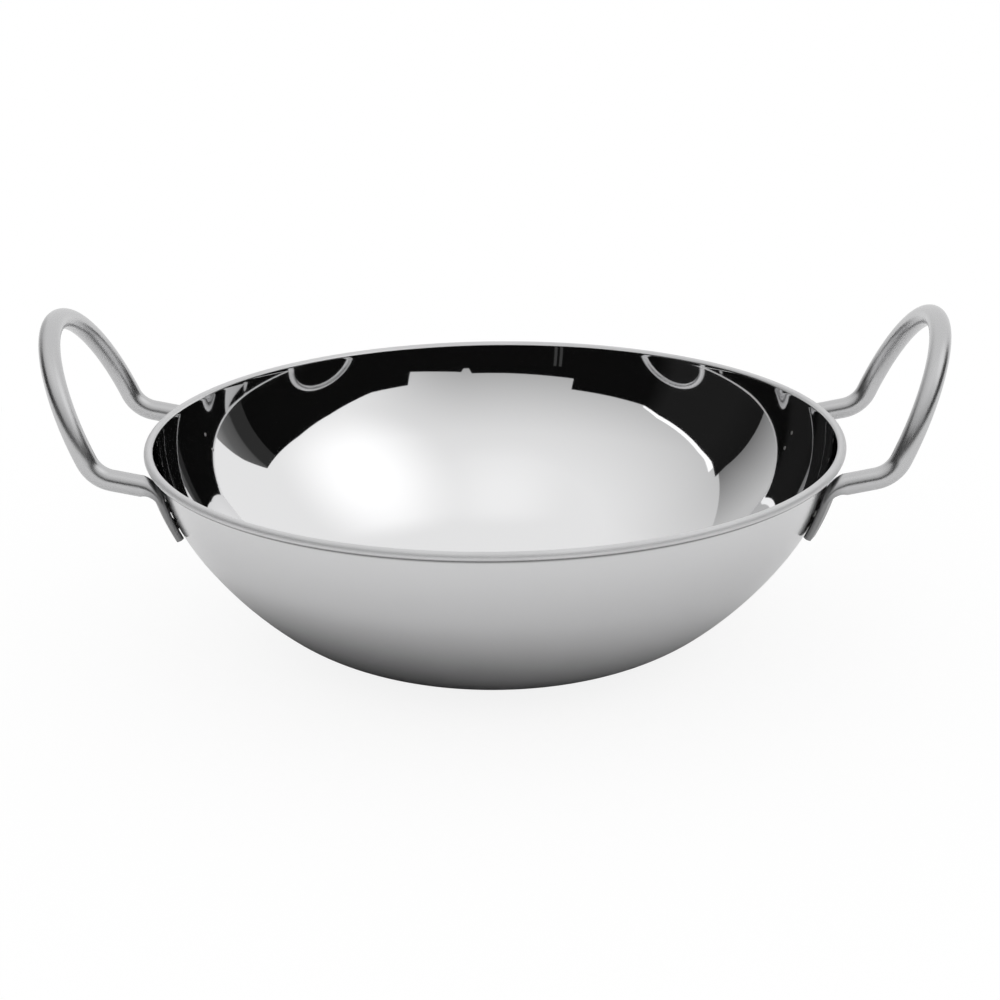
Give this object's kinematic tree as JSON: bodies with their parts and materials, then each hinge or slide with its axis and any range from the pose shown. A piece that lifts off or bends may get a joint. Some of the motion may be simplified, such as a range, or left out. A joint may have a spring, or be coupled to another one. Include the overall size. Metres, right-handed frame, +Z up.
{
  "type": "kadai",
  "caption": "Shallow round stainless steel cooking and serving dish with a rounded wall, a flat base, a curled rim and upright bent-wire loop handles welded on under the rim.",
  "frame": {"origin": "centre of the flat underside", "axes": "+Z up out of the dish, X through the handles, +X towards right_handle"},
  "size_m": [0.2552, 0.2, 0.0961],
  "materials": {
    "bowl_steel": "mirror polished inside, bright satin outside",
    "wire_steel": "polished drawn wire",
    "weld_steel": "bare spot weld"
  },
  "bodies": {
    "root": {"bowl": "bowl_steel", "left_handle": "wire_steel", "right_handle": "wire_steel", "left_handle_welds": "weld_steel", "right_handle_welds": "weld_steel"}
  },
  "joints": []
}
